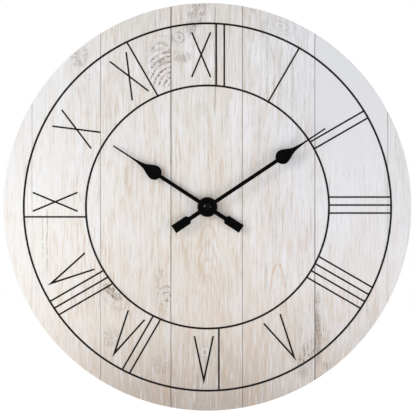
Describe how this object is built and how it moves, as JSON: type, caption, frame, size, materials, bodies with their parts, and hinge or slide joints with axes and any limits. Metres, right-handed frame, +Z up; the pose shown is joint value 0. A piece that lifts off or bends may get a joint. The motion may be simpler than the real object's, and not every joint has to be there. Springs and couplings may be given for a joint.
{
  "type": "wall clock",
  "caption": "Round frameless wall clock: a printed plank-effect board with Roman numerals between two thin rings, black spade hands and a quartz movement behind.",
  "frame": {"origin": "on the wall plane, on the axis of the hands, at the rear face of the movement", "axes": "+X to the right as the clock is read, +Z up, +Y into the wall"},
  "size_m": [0.4999, 0.036, 0.5],
  "materials": {
    "board": "medium-density fibreboard, raw edge and back",
    "print": "matt laminated print of whitewashed planks",
    "ink": "matt black print",
    "hands": "satin black lacquer over sheet aluminium",
    "cap": "satin black lacquer over turned brass",
    "case": "black moulded plastic, fine texture",
    "knob": "natural moulded plastic",
    "bushing": "turned brass",
    "gasket": "black rubber",
    "wheel": "natural acetal",
    "arbor": "drawn steel",
    "plate": "dark grey moulded plastic",
    "screw": "plated steel",
    "stator": "stamped soft iron",
    "bobbin": "natural nylon",
    "winding": "enamelled copper wire",
    "circuit": "paper laminate circuit board",
    "chip": "black potting resin",
    "crystal": "plated can",
    "magnet": "sintered magnet",
    "contact": "nickel-plated spring steel",
    "cell": "nickel-plated steel can",
    "sleeve": "printed shrink sleeve, no markings"
  },
  "bodies": {
    "frame": {"dial_board": "board", "dial_print": "print", "chapter_ring_outer": "ink", "chapter_ring_inner": "ink", "numeral_01": "ink", "numeral_02": "ink", "numeral_03": "ink", "numeral_04": "ink", "numeral_05": "ink", "numeral_06": "ink", "numeral_07": "ink", "numeral_08": "ink", "numeral_09": "ink", "numeral_10": "ink", "numeral_11": "ink", "numeral_12": "ink", "rear_case": "case", "hanger_clip": "case", "front_case": "case", "threaded_bushing": "bushing", "dial_gasket": "gasket", "fixing_washer": "bushing", "fixing_nut": "bushing", "train_plate": "plate", "train_plate_screws": "screw", "stator_plate": "stator", "coil_core": "stator", "coil_bobbin": "bobbin", "coil_winding": "winding", "circuit_board": "circuit", "timing_chip": "chip", "quartz_crystal": "crystal", "positive_contact": "contact", "negative_contact": "contact"},
    "minute": {"centre_wheel": "wheel", "minute_arbor": "arbor", "minute_hand": "hands", "minute_hand_bush": "hands", "cap_nut": "cap"},
    "hour": {"hour_wheel": "wheel", "hour_hand": "hands", "hour_hand_bush": "bushing"},
    "motion": {"motion_wheel": "wheel"},
    "setting": {"setting_knob": "knob", "setting_pinion": "wheel"},
    "third": {"third_wheel": "wheel"},
    "second": {"second_wheel": "wheel", "second_arbor": "arbor"},
    "fifth": {"fifth_wheel": "wheel"},
    "rotor": {"rotor_pinion": "wheel", "rotor_magnet": "magnet"},
    "battery": {"battery_can": "cell", "battery_sleeve": "sleeve", "battery_cap": "cell"}
  },
  "joints": [
    {"name": "minute_spin", "type": "hinge", "parent": "frame", "child": "minute", "pos_m": [0, -0.02, 0], "axis": [0, 1, 0], "continuous": true},
    {"name": "hour_spin", "type": "hinge", "parent": "frame", "child": "hour", "pos_m": [0, -0.02, 0], "axis": [0, 1, 0], "continuous": true},
    {"name": "motion_spin", "type": "hinge", "parent": "frame", "child": "motion", "pos_m": [0.00789, -0.012, -0.00287], "axis": [0, 1, 0], "continuous": true},
    {"name": "setting_spin", "type": "hinge", "parent": "frame", "child": "setting", "pos_m": [0.01664, -0.006, -0.00287], "axis": [0, 1, 0], "continuous": true},
    {"name": "third_spin", "type": "hinge", "parent": "frame", "child": "third", "pos_m": [-0.01076, -0.007, 0.00094], "axis": [0, 1, 0], "continuous": true},
    {"name": "second_spin", "type": "hinge", "parent": "frame", "child": "second", "pos_m": [0, -0.005, 0], "axis": [0, 1, 0], "continuous": true},
    {"name": "fifth_spin", "type": "hinge", "parent": "frame", "child": "fifth", "pos_m": [0.0042, -0.004, 0.00727], "axis": [0, 1, 0], "continuous": true},
    {"name": "rotor_spin", "type": "hinge", "parent": "frame", "child": "rotor", "pos_m": [0.01044, -0.004, 0.01087], "axis": [0, 1, 0], "continuous": true},
    {"name": "battery_lift", "type": "slide", "parent": "frame", "child": "battery", "axis": [0, 1, 0], "range_m": [0, 0.02]}
  ],
  "couplings": [
    {"joint": "hour_spin", "follows": "minute_spin", "ratio": 0.083333},
    {"joint": "motion_spin", "follows": "minute_spin", "ratio": -0.33333},
    {"joint": "setting_spin", "follows": "minute_spin", "ratio": 0.85714},
    {"joint": "third_spin", "follows": "minute_spin", "ratio": -8},
    {"joint": "second_spin", "follows": "minute_spin", "ratio": 60},
    {"joint": "fifth_spin", "follows": "minute_spin", "ratio": -360},
    {"joint": "rotor_spin", "follows": "minute_spin", "ratio": 1800}
  ]
}
